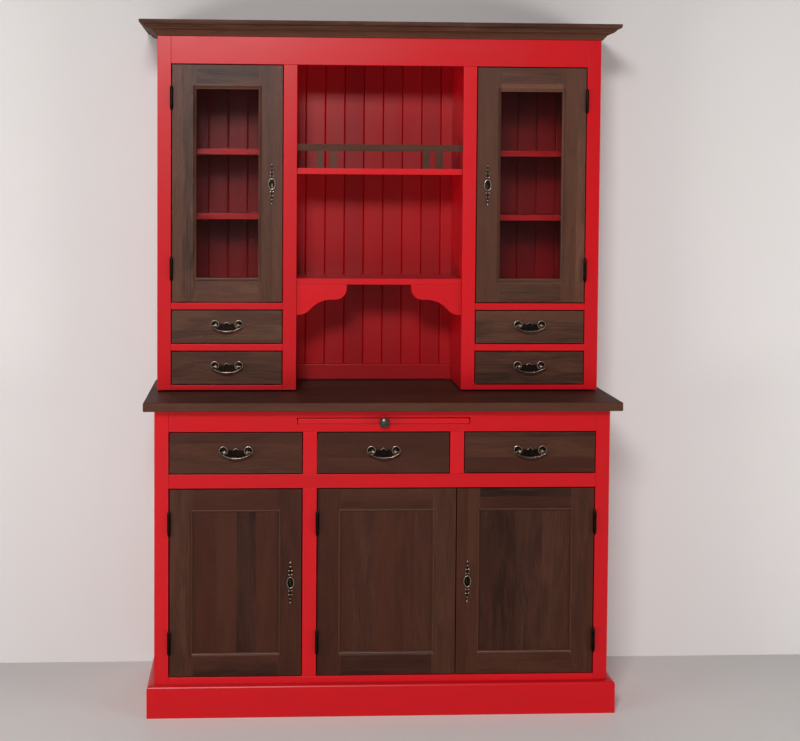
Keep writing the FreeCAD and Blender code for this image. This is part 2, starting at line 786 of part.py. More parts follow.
def make_escutcheon(x, face, height):
    """A keyhole plate: an oval rimmed core, and above and below it two bead pairs, a bead and a ball."""
    def place(across, up, out=0.0):
        return Vector(x + across, face - out, height + up)

    def oval(inset, out):
        top = place(0, escutcheon_core / 2 - inset, out)
        side = place(escutcheon_width / 2 - inset, 0, out)
        return Part.Wire(Part.Ellipse(top, side, place(0, 0, out)).toShape())

    middle = escutcheon_plate / 2
    core = Part.Face(oval(0, 0)).extrude(Vector(0, -escutcheon_plate, 0))
    rim_at = place(0, escutcheon_core / 2 - escutcheon_rim_inset, escutcheon_plate)
    rim_ring = Part.Wire(Part.makeCircle(escutcheon_rim, rim_at, Vector(1, 0, 0)))
    parts = [oval(escutcheon_rim_inset, escutcheon_plate).makePipeShell([rim_ring], True, False)]
    first_bead = escutcheon_core / 2 + 2 * escutcheon_bead
    ball_up = first_bead + 3 * escutcheon_pitch
    for sign in (-1, 1):
        for index in (0, 1):
            up = sign * (first_bead + index * escutcheon_pitch)
            ends = [place(-escutcheon_pair / 2, up, middle), place(escutcheon_pair / 2, up, middle)]
            parts.append(rod(*ends, escutcheon_link))
            parts += [Part.makeSphere(escutcheon_bead, end) for end in ends]
        bead_at = place(0, sign * (first_bead + 2 * escutcheon_pitch), middle)
        parts.append(Part.makeSphere(escutcheon_bead, bead_at))
        parts.append(Part.makeSphere(escutcheon_ball, place(0, sign * ball_up, middle)))
    spine = board(x - escutcheon_spine / 2, x + escutcheon_spine / 2, face - escutcheon_plate, face,
                  height - ball_up, height + ball_up)
    front_room = board(x - escutcheon_width, x + escutcheon_width, face - escutcheon_width, face,
                       height - 2 * ball_up, height + 2 * ball_up)
    plate = core.fuse(parts + [spine]).common(front_room)
    return plate.cut(keyhole(x, height, face - escutcheon_width, face)).removeSplitter()


def make_doors():
    """Every door with its glass, and the hinges, escutcheon and lock case that it carries."""
    middle_left = -muntin_inner
    middle_right = base_opening_side
    meeting = (middle_left + middle_right) / 2
    base_z = (base_sill, base_door_top)
    hutch_z = (hutch_door_sill, hutch_door_top)
    doors = (
        ("base_door_left", -base_opening_side, -muntin_outer, base_front, base_z, 1, True, False),
        ("base_door_middle", middle_left, meeting + front_gap / 2, base_front, base_z, 1, False, False),
        ("base_door_right", meeting - front_gap / 2, middle_right, base_front, base_z, -1, True, False),
        ("glazed_door_left", -hutch_opening_side, -tower_inner, hutch_front, hutch_z, 1, True, True),
        ("glazed_door_right", tower_inner, hutch_opening_side, hutch_front, hutch_z, -1, True, True),
    )
    frame_leaves = []
    for name, x0, x1, face, opening_z, towards_door, locked, glazed in doors:
        hinged_left = towards_door > 0
        leaf_x0 = x0 + (hinge_gap if hinged_left else front_gap)
        leaf_x1 = x1 - (front_gap if hinged_left else hinge_gap)
        low = opening_z[0] + front_gap
        high = opening_z[1] - front_gap
        member = glazed_door_member if glazed else base_door_member
        leaf, glass = make_door_leaf(leaf_x0, leaf_x1, face, low, high, member, glazed)
        if glazed:
            export(name + "_glass", [glass])

        hardware = []
        stile_x = x0 if hinged_left else x1
        for middle_z in (opening_z[0] + hinge_inset, opening_z[1] - hinge_inset):
            frame_side, door_side = make_hinge(stile_x, towards_door, face, middle_z)
            frame_leaves.append(frame_side)
            hardware.append(door_side)
        if locked:
            free_edge = leaf_x1 if hinged_left else leaf_x0
            lock_x = free_edge - towards_door * escutcheon_inset
            lock_z = (opening_z[0] + opening_z[1]) / 2
            back = face + frame_board
            leaf = [piece.cut(keyhole(lock_x, lock_z, face, back)).removeSplitter() for piece in leaf]
            hardware.append(make_escutcheon(lock_x, face, lock_z))
            hardware.append(board(lock_x - lock_case_width / 2, lock_x + lock_case_width / 2,
                                  back, back + lock_case_depth,
                                  lock_z - lock_case_height / 2, lock_z + lock_case_height / 2))
        export(name, leaf)
        export(name + "_hardware", hardware)
    export("hinge_frame_leaves", frame_leaves)


os.makedirs("parts", exist_ok=True)
make_base_carcass()
make_base_face_frame()
make_plinth()
make_worktop()
make_drawer_guides()
make_pull_out_board()
make_hutch_carcass()
make_hutch_face_frame()
make_hutch_shelves()
make_shelf_brackets()
make_gallery()
make_cornice()
make_drawers()
make_doors()
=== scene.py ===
"""Kitchen buffet cabinet: paint, stained wood, bronze, glass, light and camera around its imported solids.

Metres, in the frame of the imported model: X to the right, Y to the back, Z up, origin on the floor.
"""

import json
import math
import random

import bmesh
import bpy
from bpy.props import FloatProperty, FloatVectorProperty, PointerProperty
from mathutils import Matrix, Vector

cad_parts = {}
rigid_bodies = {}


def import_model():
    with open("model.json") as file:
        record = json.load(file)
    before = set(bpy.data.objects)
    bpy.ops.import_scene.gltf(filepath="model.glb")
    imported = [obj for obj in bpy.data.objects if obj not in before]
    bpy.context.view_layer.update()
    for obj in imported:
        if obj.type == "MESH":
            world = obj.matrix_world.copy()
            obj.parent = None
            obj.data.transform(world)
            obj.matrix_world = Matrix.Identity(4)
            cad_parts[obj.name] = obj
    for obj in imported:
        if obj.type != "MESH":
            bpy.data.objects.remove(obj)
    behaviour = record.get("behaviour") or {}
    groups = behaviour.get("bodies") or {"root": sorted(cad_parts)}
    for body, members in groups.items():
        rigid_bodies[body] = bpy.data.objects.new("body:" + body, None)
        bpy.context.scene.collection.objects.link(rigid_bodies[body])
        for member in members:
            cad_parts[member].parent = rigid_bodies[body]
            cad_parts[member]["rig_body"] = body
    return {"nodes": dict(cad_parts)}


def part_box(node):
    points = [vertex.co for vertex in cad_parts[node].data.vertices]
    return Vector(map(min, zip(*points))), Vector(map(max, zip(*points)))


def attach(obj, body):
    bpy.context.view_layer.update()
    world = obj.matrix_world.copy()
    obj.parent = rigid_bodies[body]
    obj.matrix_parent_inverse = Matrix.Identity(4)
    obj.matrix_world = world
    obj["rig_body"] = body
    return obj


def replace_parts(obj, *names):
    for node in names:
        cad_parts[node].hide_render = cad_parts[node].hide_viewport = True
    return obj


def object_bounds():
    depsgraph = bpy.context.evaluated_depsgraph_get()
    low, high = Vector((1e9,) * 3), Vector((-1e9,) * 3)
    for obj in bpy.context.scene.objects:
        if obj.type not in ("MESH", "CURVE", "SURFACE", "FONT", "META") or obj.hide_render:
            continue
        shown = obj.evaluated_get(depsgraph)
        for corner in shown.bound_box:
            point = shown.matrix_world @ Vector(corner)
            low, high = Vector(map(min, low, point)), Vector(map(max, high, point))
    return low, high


bl_info = {
    "name": "Kitchen Buffet Cabinet",
    "version": (1, 0, 0),
    "blender": (4, 5, 0),
    "location": "View3D > Sidebar > Buffet",
    "description": "Dresses a kitchen buffet cabinet's solids in paint, stained oak, bronze and glass",
    "category": "Object",
}

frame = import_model()
cad_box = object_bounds()

MM = 0.001
# Faces that meet at less than the first angle are one flat face, and at more than the second an edge
FLAT_ANGLE = math.radians(0.5)
SHARP_ANGLE = math.radians(35)
# Corners of one solid that lie this close together are one corner
SEW_REACH = 0.001 * MM
# Each board is cut from anywhere in this much timber, in metres
TIMBER = 20
# How bare of stain eased edges are, and how pale the lower and the other strips of a panel bead are: on the
# beads partly sanded thin and partly painted highlight, the lower strip most, as light falls on it from
# above
EDGE_WEAR = 0.12
BEAD_WEAR_AND_HIGHLIGHT = 0.85
BEAD_SIDE_WEAR_AND_HIGHLIGHT = 0.35
# Castings wider than a hinge are rubbed where they stand out from their own back: from the first height
# on, and fully at the second
HINGE_WIDTH = 15 * MM
RUB_FROM = 2.2 * MM
RUB_TO = 3.0 * MM
# How much bare metal shows where plates, bails and the knob are rubbed; the rest is tarnish
PLATE_METAL = 0.9
BAIL_METAL = 0.95
KNOB_METAL = 0.65
# Refraction of lacquer, oil and glass
FILM_IOR = 1.5
# Oiled oak: roughness of its smoothest and roughest fibres, and strength of its sheen
DOOR_SHEEN = (0.38, 0.52, 0.36)
TOP_SHEEN = (0.5, 0.62, 0.16)
# Least and greatest width of an eased edge
EASE_LIMITS = {"min": 0.1 * MM, "max": 3 * MM}

BASE_DOORS = ("base_door_left", "base_door_middle", "base_door_right")
GLAZED_DOORS = ("glazed_door_left", "glazed_door_right")
BASE_DRAWERS = ("base_drawer_left", "base_drawer_centre", "base_drawer_right")
HUTCH_DRAWERS = (
    "hutch_drawer_left_lower", "hutch_drawer_left_upper",
    "hutch_drawer_right_lower", "hutch_drawer_right_upper",
)
PAINTED_BOARDS = (
    "base_uprights", "base_decks", "base_back", "base_shelves", "base_face_frame", "plinth",
    "hutch_uprights", "hutch_top", "hutch_back", "hutch_stiles", "hutch_rails", "hutch_shelves",
    "shelf_brackets", "pull_out_board",
)
# Back boards get a darker red than the fronts: painted shade in the niche, the cupboards and the base
BACK_BOARDS = ("base_back", "hutch_back")
TRIM = ("worktop", "cornice", "gallery")

# Half the width and depth of the floor, and half the height of the wall, in metres
FLOOR_REACH = 12
WALL_REACH = 6
# Each lamp: its place, what it points at, its width and height, its watts, and whether surfaces mirror it
LAMPS = {
    "Key lamp": ((-0.9, -4.5, 3.4), (0, -2.6, 0), (1.2, 1.0), 183, True),
    "Left fill": ((-3.6, -2.4, 0.65), (0, 0, 0.5), (2.0, 1.0), 92, False),
    "Right fill": ((3.6, -2.4, 0.65), (0, 0, 0.5), (2.0, 1.0), 90, False),
    "Rear fill": ((0, 2.8, 1.3), (0, 0, 1.0), (2.4, 1.6), 26, False),
}


def linear(hex_colour):
    """A linear colour with alpha from six sRGB hex digits."""
    channels = []
    for at in (0, 2, 4):
        value = int(hex_colour[at:at + 2], 16) / 255
        channels.append(value / 12.92 if value <= 0.04045 else ((value + 0.055) / 1.055) ** 2.4)
    return (*channels, 1.0)


def add_node(tree, kind, sockets=None, **settings):
    """Add a shader node; settings are its own properties, sockets its input values or what feeds them.

    Sockets 1 to 4 of a Map Range are the ends that it maps from and the ends that it maps to. A colour
    Mix has its share at 0 and its two colours at 6 and 7.
    """
    node = tree.nodes.new("ShaderNode" + kind)
    for name, value in settings.items():
        setattr(node, name, value)
    for key, value in (sockets or {}).items():
        if isinstance(value, bpy.types.NodeSocket):
            tree.links.new(value, node.inputs[key])
        else:
            node.inputs[key].default_value = value
    return node


def start_material(name):
    """An empty node material with its output."""
    material = bpy.data.materials.new(name)
    material.use_nodes = True
    tree = material.node_tree
    tree.nodes.clear()
    return material, tree, add_node(tree, "OutputMaterial")


def finish_material(material, tree, output, shader):
    """Lead a material's last shader to its output."""
    tree.links.new(shader.outputs[0], output.inputs["Surface"])
    return material


def board_layers(tree):
    """What lay_grain wrote on a board: the place of each spot in the timber, and the board's own tone."""
    place = add_node(tree, "Attribute", attribute_name="grain_place").outputs["Vector"]
    tone = add_node(tree, "Attribute", attribute_name="board_tone").outputs["Fac"]
    return place, tone


def streaks(tree, place, along, across, detail, distortion=0.0):
    """Noise drawn out along the grain, with so many features to a metre along and across it."""
    drawn = add_node(tree, "VectorMath", {0: place, 1: (along, across, across)}, operation="MULTIPLY")
    return add_node(tree, "TexNoise", {"Vector": drawn.outputs[0], "Scale": 1, "Detail": detail,
                                       "Distortion": distortion}).outputs[0]


def growth_rings(tree, place, bend, reach, pitch):
    """Waves across the grain, one to each ring; the bend pushes them aside by as much as its reach."""
    across = add_node(tree, "SeparateXYZ", {0: place}).outputs["Y"]
    bent = add_node(tree, "Math", {0: bend, 1: reach, 2: across}, operation="MULTIPLY_ADD")
    turns = add_node(tree, "Math", {0: bent.outputs[0], 1: 2 * math.pi / pitch}, operation="MULTIPLY")
    return add_node(tree, "Math", {0: turns.outputs[0]}, operation="SINE").outputs[0]


def satin_lacquer(name, colour, shade):
    """Satin alkyd lacquer sprayed on planed softwood.

    The eye gets one even, saturated colour with a soft wide sheen; the grain only shows as a faint
    ripple along each board, and the coat is a touch deeper where it lies thick.
    """
    material, tree, output = start_material(name)
    place, tone = board_layers(tree)
    # Drifts of film thickness, about 180 mm along a board and 60 mm across it
    drift = streaks(tree, place, 5.5, 16, 2)
    # Grain under the film: ridges 2.5 mm apart and 150 mm long, coarser than real ones so that they show
    ridge = streaks(tree, place, 6.5, 400, 3)
    # Orange peel of the sprayed film, 1.5 mm
    peel = add_node(tree, "TexNoise", {"Vector": place, "Scale": 650, "Detail": 1}).outputs[0]
    # Drift and board together say how deep the red is, and the drift alone how dull the film
    depth = add_node(tree, "Math", {0: drift, 1: tone}, operation="ADD").outputs[0]
    share = add_node(tree, "MapRange", {0: depth, 1: 0.45, 2: 1.55}).outputs[0]
    body = add_node(tree, "Mix", {0: share, 6: colour, 7: shade}, data_type="RGBA").outputs[2]
    gloss = add_node(tree, "MapRange", {0: drift, 1: 0.3, 2: 0.7, 3: 0.32, 4: 0.39}).outputs[0]
    relief = add_node(tree, "Math", {0: peel, 1: 0.35, 2: ridge}, operation="MULTIPLY_ADD").outputs[0]
    bump = add_node(tree, "Bump", {"Strength": 0.1, "Distance": 0.2 * MM, "Height": relief}).outputs[0]
    shader = add_node(tree, "BsdfPrincipled", {
        "Base Color": body, "Roughness": gloss, "Normal": bump, "IOR": FILM_IOR,
        "Specular IOR Level": 0.43})
    return finish_material(material, tree, output, shader)


def stained_oak(name, deep, pale, warm, wear_and_highlight, stave, smooth, rough, sheen):
    """Oak staves glued side by side, stained dark brown and finished with satin oil.

    The eye gets staves of slightly different browns, flowing growth rings, fine dark pores along the
    grain, and a dull sheen that is broken by the pores.
    """
    material, tree, output = start_material(name)
    place, tone = board_layers(tree)
    wear_and_highlight_mask = add_node(tree, "Attribute", attribute_name="eased_edge").outputs["Fac"]
    # Staves: each about as wide as its given width, and each with a brown of its own
    across = add_node(tree, "SeparateXYZ", {0: place}).outputs["Y"]
    counted = add_node(tree, "Math", {0: across, 1: 1 / stave}, operation="MULTIPLY").outputs[0]
    staves = add_node(tree, "TexVoronoi", {"W": counted, "Scale": 1, "Randomness": 0.7},
                      voronoi_dimensions="1D").outputs["Color"]
    brown = add_node(tree, "SeparateColor", {0: staves})
    # Each stave is cut from another part of the tree, up to 3 m away, so its rings start elsewhere
    jump = add_node(tree, "VectorMath", {0: staves, 1: (3, 3, 3)}, operation="MULTIPLY").outputs[0]
    cut = add_node(tree, "VectorMath", {0: place, 1: jump}, operation="ADD").outputs[0]
    # Smears where the stain was wiped, 160 mm long and 30 mm wide
    smear = streaks(tree, cut, 6.2, 33, 3, 0.8)
    smeared = add_node(tree, "MapRange", {0: smear, 1: 0.35, 2: 0.72, 3: -0.14, 4: 0.26}).outputs[0]
    # Growth rings 9 mm apart, bent by swells 420 mm long and 70 mm wide
    rings = growth_rings(tree, cut, streaks(tree, cut, 2.4, 14, 2), 95 * MM, 9 * MM)
    # Fibres 1.5 mm wide and 90 mm long
    fibre = streaks(tree, cut, 11, 660, 4)
    # Open pores, drawn 0.9 mm wide and 14 mm long, which is coarser than real ones so that they show
    pore = add_node(tree, "MapRange", {0: streaks(tree, cut, 70, 1100, 1), 1: 0.58, 2: 0.7}).outputs[0]
    # The browns add up, each by its weight: stave, board, rings, fibres and smears
    light = 0.0
    stave_brown = brown.outputs[0]
    for part, weight in ((stave_brown, 0.5), (tone, 0.22), (rings, 0.07), (fibre, 0.45), (smeared, 1.0)):
        light = add_node(tree, "Math", {0: part, 1: weight, 2: light}, operation="MULTIPLY_ADD").outputs[0]
    lightness = add_node(tree, "MapRange", {0: light, 1: 0.15, 2: 1.0}).outputs[0]
    colour = add_node(tree, "Mix", {0: lightness, 6: deep, 7: pale}, data_type="RGBA").outputs[2]
    # Over them lie the warmth of some staves, the dark of the pores and the pale of edges sanded thin; on
    # the panel beads that pale is also painted highlight
    warmth = add_node(tree, "Math", {0: brown.outputs[1], 1: 0.75}, operation="MULTIPLY").outputs[0]
    filled = add_node(tree, "Math", {0: pore, 1: 0.45}, operation="MULTIPLY").outputs[0]
    for share, over in ((warmth, warm), (filled, deep), (wear_and_highlight_mask, wear_and_highlight)):
        colour = add_node(tree, "Mix", {0: share, 6: colour, 7: over}, data_type="RGBA").outputs[2]
    gloss = add_node(tree, "MapRange", {0: fibre, 1: 0.3, 2: 0.7, 3: rough, 4: smooth}).outputs[0]
    relief = add_node(tree, "Math", {0: pore, 1: -1.0, 2: fibre}, operation="MULTIPLY_ADD").outputs[0]
    bump = add_node(tree, "Bump", {"Strength": 0.3, "Distance": 0.3 * MM, "Height": relief}).outputs[0]
    shader = add_node(tree, "BsdfPrincipled", {
        "Base Color": colour, "Roughness": gloss, "Normal": bump, "IOR": FILM_IOR,
        "Specular IOR Level": sheen})
    return finish_material(material, tree, output, shader)


def planed_pine(name, early, late):
    """Unfinished planed pine.

    The eye gets pale honey wood with darker summer rings, a matt surface and now and then a small knot.
    """
    material, tree, output = start_material(name)
    place, tone = board_layers(tree)
    # Knots about 12 mm across and some 200 mm apart push the rings aside
    knot_place = add_node(tree, "VectorMath", {0: place, 1: (5, 11, 3)}, operation="MULTIPLY").outputs[0]
    knot = add_node(tree, "TexVoronoi", {"Vector": knot_place, "Scale": 1}).outputs["Distance"]
    core = add_node(tree, "MapRange", {0: knot, 1: 0.05, 2: 0.11, 3: 1.0, 4: 0.0}).outputs[0]
    # Rings 6 mm apart, bent by knots and by swells 550 mm long and 110 mm wide
    swell = streaks(tree, place, 1.8, 9, 2)
    pushed = add_node(tree, "Math", {0: core, 1: 0.25, 2: swell}, operation="MULTIPLY_ADD").outputs[0]
    rings = growth_rings(tree, place, pushed, 70 * MM, 6 * MM)
    summer = add_node(tree, "MapRange", {0: rings, 1: 0.1, 2: 1.0, 3: 0.0, 4: 0.55}).outputs[0]
    # Fibres 1.1 mm wide and 80 mm long
    fibre = streaks(tree, place, 12, 900, 3)
    grain = add_node(tree, "Math", {0: fibre, 1: 0.3, 2: summer}, operation="MULTIPLY_ADD").outputs[0]
    toned = add_node(tree, "Math", {0: tone, 1: 0.2, 2: grain}, operation="MULTIPLY_ADD").outputs[0]
    darkness = add_node(tree, "Math", {0: toned, 1: core}, operation="MAXIMUM").outputs[0]
    colour = add_node(tree, "Mix", {0: darkness, 6: early, 7: late}, data_type="RGBA").outputs[2]
    bump = add_node(tree, "Bump", {"Strength": 0.2, "Distance": 0.3 * MM, "Height": grain}).outputs[0]
    shader = add_node(tree, "BsdfPrincipled", {
        "Base Color": colour, "Roughness": 0.68, "Normal": bump, "IOR": FILM_IOR})
    return finish_material(material, tree, output, shader)


def antique_bronze(name, patina, brown, bright, rubbed_metal):
    """Cast bronze, darkened in a bath and rubbed back by hand.

    The eye gets a brown-black metal with cloudy patina, bright on the rims, beads and caps that stand out.
    """
    material, tree, output = start_material(name)
    place = add_node(tree, "TexCoord").outputs["Object"]
    proud = add_node(tree, "Attribute", attribute_name="proud").outputs["Fac"]
    # Clouds of patina, 7 mm
    cloud = add_node(tree, "TexNoise", {"Vector": place, "Scale": 140, "Detail": 4}).outputs[0]
    clouded = add_node(tree, "MapRange", {0: cloud, 1: 0.35, 2: 0.65}).outputs[0]
    dark = add_node(tree, "Mix", {0: clouded, 6: patina, 7: brown}, data_type="RGBA").outputs[2]
    # High spots are rubbed, less so under the clouds
    high = add_node(tree, "MapRange", {0: proud, 1: RUB_FROM, 2: RUB_TO}).outputs[0]
    uneven = add_node(tree, "MapRange", {0: cloud, 1: 0.3, 2: 0.6, 3: 0.55, 4: 1.0}).outputs[0]
    rubbed = add_node(tree, "Math", {0: high, 1: uneven}, operation="MULTIPLY").outputs[0]
    colour = add_node(tree, "Mix", {0: rubbed, 6: dark, 7: bright}, data_type="RGBA").outputs[2]
    gloss = add_node(tree, "MapRange", {0: rubbed, 3: 0.5, 4: 0.32}).outputs[0]
    # The bath leaves a film on the metal
    metal = add_node(tree, "MapRange", {0: rubbed, 3: 0.8, 4: rubbed_metal}).outputs[0]
    # Cast skin, 0.8 mm grit
    grit = add_node(tree, "TexNoise", {"Vector": place, "Scale": 1250, "Detail": 2}).outputs[0]
    bump = add_node(tree, "Bump", {"Strength": 0.15, "Distance": 0.2 * MM, "Height": grit}).outputs[0]
    shader = add_node(tree, "BsdfPrincipled", {
        "Base Color": colour, "Metallic": metal, "Roughness": gloss, "Normal": bump})
    return finish_material(material, tree, output, shader)


def float_glass(name, tint_and_painted_shade):
    """Clear float glass, 4 mm.

    The eye gets a nearly invisible pane with mirror-like reflections and faint marks of wiping. Its grey
    cast is painted shade: it darkens what the pane shuts in.
    """
    material, tree, output = start_material(name)
    place = add_node(tree, "TexCoord").outputs["Object"]
    # Wiping marks, about 60 mm
    wipe = add_node(tree, "TexNoise", {"Vector": place, "Scale": 16, "Detail": 3}).outputs[0]
    gloss = add_node(tree, "MapRange", {0: wipe, 1: 0.4, 2: 0.7, 3: 0.0, 4: 0.03}).outputs[0]
    pane = add_node(tree, "BsdfPrincipled", {
        "Base Color": tint_and_painted_shade, "Roughness": gloss, "IOR": FILM_IOR, "Transmission Weight": 1.0})
    # Lamps shine through the pane on what it shuts in, dimmed by its grey cast as painted shade
    clear = add_node(tree, "BsdfTransparent", {0: tint_and_painted_shade})
    lamp = add_node(tree, "LightPath").outputs["Is Shadow Ray"]
    shader = add_node(tree, "MixShader", {0: lamp, 1: pane.outputs[0], 2: clear.outputs[0]})
    return finish_material(material, tree, output, shader)


def studio_surface(name, colour, mottle, size):
    """Matt emulsion or worn floor paint for the studio, with a faint mottle of the given size."""
    material, tree, output = start_material(name)
    place = add_node(tree, "TexCoord").outputs["Object"]
    noise = add_node(tree, "TexNoise", {"Vector": place, "Scale": 1 / size, "Detail": 2}).outputs[0]
    tone = add_node(tree, "Mix", {0: noise, 6: colour, 7: mottle}, data_type="RGBA").outputs[2]
    shader = add_node(tree, "BsdfPrincipled", {"Base Color": tone, "Roughness": 0.6})
    return material, tree, output, shader


def split_solids(bm):
    """The faces of each closed solid: they come solid by solid, so a solid ends when it is shut."""
    solids = []
    current = []
    open_edges = set()
    for face in bm.faces:
        current.append(face)
        corners = [tuple(round(c / SEW_REACH) for c in vert.co) for vert in face.verts]
        for edge in zip(corners, corners[1:] + corners[:1]):
            if edge[::-1] in open_edges:
                open_edges.remove(edge[::-1])
            else:
                open_edges.add(edge)
        if not open_edges:
            solids.append(current)
            current = []
    return solids + [current] if current else solids


def islands(bm):
    """The vertices of each separate shape in a mesh, in the order of the mesh."""
    seen = set()
    for start in bm.verts:
        if start in seen:
            continue
        seen.add(start)
        shape = [start]
        for vert in shape:
            for edge in vert.link_edges:
                other = edge.other_vert(vert)
                if other not in seen:
                    seen.add(other)
                    shape.append(other)
        yield shape


def lay_grain(bm, seed):
    """Give each board a grain along its length, a tone of its own, and its own stretch of timber."""
    draw = random.Random(seed)
    grain = bm.verts.layers.float_vector.new("grain_place")
    tone = bm.verts.layers.float.new("board_tone")
    for shape in islands(bm):
        sizes = []
        for axis in range(3):
            along = [vert.co[axis] for vert in shape]
            sizes.append((min(along) - max(along), axis))
        # Longest side first: the grain runs along it
        order = [axis for size, axis in sorted(sizes)]
        shift = Vector([draw.uniform(0, TIMBER) for axis in order])
        shade = draw.random()
        for vert in shape:
            vert[grain] = Vector([vert.co[axis] for axis in order]) + shift
            vert[tone] = shade


def sewn_solids(node):
    """A mesh of a node's solids, each sewn shut on its own."""
    bm = bmesh.new()
    bm.from_mesh(frame["nodes"][node].data)
    for solid in split_solids(bm):
        corners = list({vert for face in solid for vert in face.verts})
        bmesh.ops.remove_doubles(bm, verts=corners, dist=SEW_REACH)
    return bm


def add_piece(bm, name, node, material):
    """Make a mesh a smooth-shaded piece in one material that moves with a node's body."""
    for face in bm.faces:
        face.smooth = True
        face.material_index = 0
    mesh = bpy.data.meshes.new(name)
    bm.to_mesh(mesh)
    bm.free()
    mesh.materials.append(material)
    piece = bpy.data.objects.new(name, mesh)
    bpy.context.scene.collection.objects.link(piece)
    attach(piece, frame["nodes"][node]["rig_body"])
    return piece


def ease_edges(bm, edges, ease, wear_and_highlight_mask, wear_and_highlight):
    """Round edges over as sandpaper leaves them, and write in a layer how pale the new faces are: sanded
    thin, and on panel beads also painted highlight.
    """
    eased = bmesh.ops.bevel(bm, geom=edges, offset=ease, offset_type="OFFSET", segments=2,
                            profile=0.5, affect="EDGES", clamp_overlap=True, material=-1)
    for face in eased["faces"]:
        face[wear_and_highlight_mask] = wear_and_highlight


def add_board_piece(bm, name, node, material):
    """Make a mesh a piece of timber: grain along each board and even shading over its eased edges."""
    lay_grain(bm, name)
    piece = add_piece(bm, name, node, material)
    piece.modifiers.new("Even shading", "WEIGHTED_NORMAL").keep_sharp = True
    return piece


def dress_wood(node, finish, material, ease):
    """Put a copy of a wooden node with eased edges in its place."""
    bm = sewn_solids(node)
    bmesh.ops.dissolve_limit(bm, angle_limit=FLAT_ANGLE, verts=bm.verts, edges=bm.edges)
    wear_and_highlight_mask = bm.faces.layers.float.new("eased_edge")
    sharp = [edge for edge in bm.edges
             if edge.is_manifold and edge.is_convex and edge.calc_face_angle() > SHARP_ANGLE]
    ease_edges(bm, sharp, ease, wear_and_highlight_mask, EDGE_WEAR)
    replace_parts(add_board_piece(bm, finish + "_" + node, node, material), node)


def add_panel_bead(door, material, finishes):
    """Four mitred strips on the slope of a door's moulded frame, round its panel."""
    low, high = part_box(door)
    front = low.y + finishes.bead_set_back
    bm = bmesh.new()
    for side in range(4):
        corners = []
        for out in (finishes.bead_inner, finishes.bead_outer):
            reach = finishes.door_member - out
            left, right, foot, head = low.x + reach, high.x - reach, low.z + reach, high.z - reach
            rim = ((left, foot), (right, foot), (right, head), (left, head))
            for x, z in (rim[side], rim[(side + 1) % 4]):
                for y in (front, front + finishes.bead_depth):
                    corners.append(bm.verts.new((x, y, z)))
        bmesh.ops.convex_hull(bm, input=corners)
    bmesh.ops.dissolve_limit(bm, angle_limit=FLAT_ANGLE, verts=bm.verts, edges=bm.edges)
    bmesh.ops.recalc_face_normals(bm, faces=bm.faces)
    wear_and_highlight_mask = bm.faces.layers.float.new("eased_edge")
    arrises = [edge for edge in bm.edges
               if edge.calc_length() > finishes.door_member
               and all(vert.co.y < front + SEW_REACH for vert in edge.verts)]
    # A cloth rubs the lower strip most
    # The lower strip is palest: painted highlight where light from above falls on it; the other strips get
    # a smaller share of sanded edge and painted highlight
    lower = [edge for edge in arrises
             if all(vert.co.z < low.z + finishes.door_member for vert in edge.verts)]
    others = [edge for edge in arrises if edge not in lower]
    ease_edges(bm, lower, finishes.stained_ease, wear_and_highlight_mask, BEAD_WEAR_AND_HIGHLIGHT)
    ease_edges(bm, others, finishes.stained_ease, wear_and_highlight_mask, BEAD_SIDE_WEAR_AND_HIGHLIGHT)
    add_board_piece(bm, "panel_bead_" + door, door, material)


def dress_metal(node, material):
    """Put a copy of a metal node in its place that knows how far each spot stands out from its own back."""
    bm = sewn_solids(node)
    proud = bm.verts.layers.float.new("proud")
    for shape in islands(bm):
        across = [vert.co.x for vert in shape]
        back = max(vert.co.y for vert in shape)
        if max(across) - min(across) > HINGE_WIDTH:
            for vert in shape:
                vert[proud] = back - vert.co.y
    for edge in bm.edges:
        edge.smooth = edge.is_manifold and edge.calc_face_angle() < SHARP_ANGLE
    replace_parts(add_piece(bm, "cast_" + node, node, material), node)


def coat_node(node, material):
    """Give a node that keeps its own shape a better material."""
    for slot in frame["nodes"][node].material_slots:
        slot.material = material


def colour_setting(name, description, hex_colour):
    """A colour in the panel, written as six sRGB hex digits."""
    return FloatVectorProperty(name=name, description=description, subtype="COLOR", size=4,
                               default=linear(hex_colour))


def length_setting(name, description, default, **limits):
    """A length in the panel."""
    return FloatProperty(name=name, description=description, unit="LENGTH", default=default, **limits)


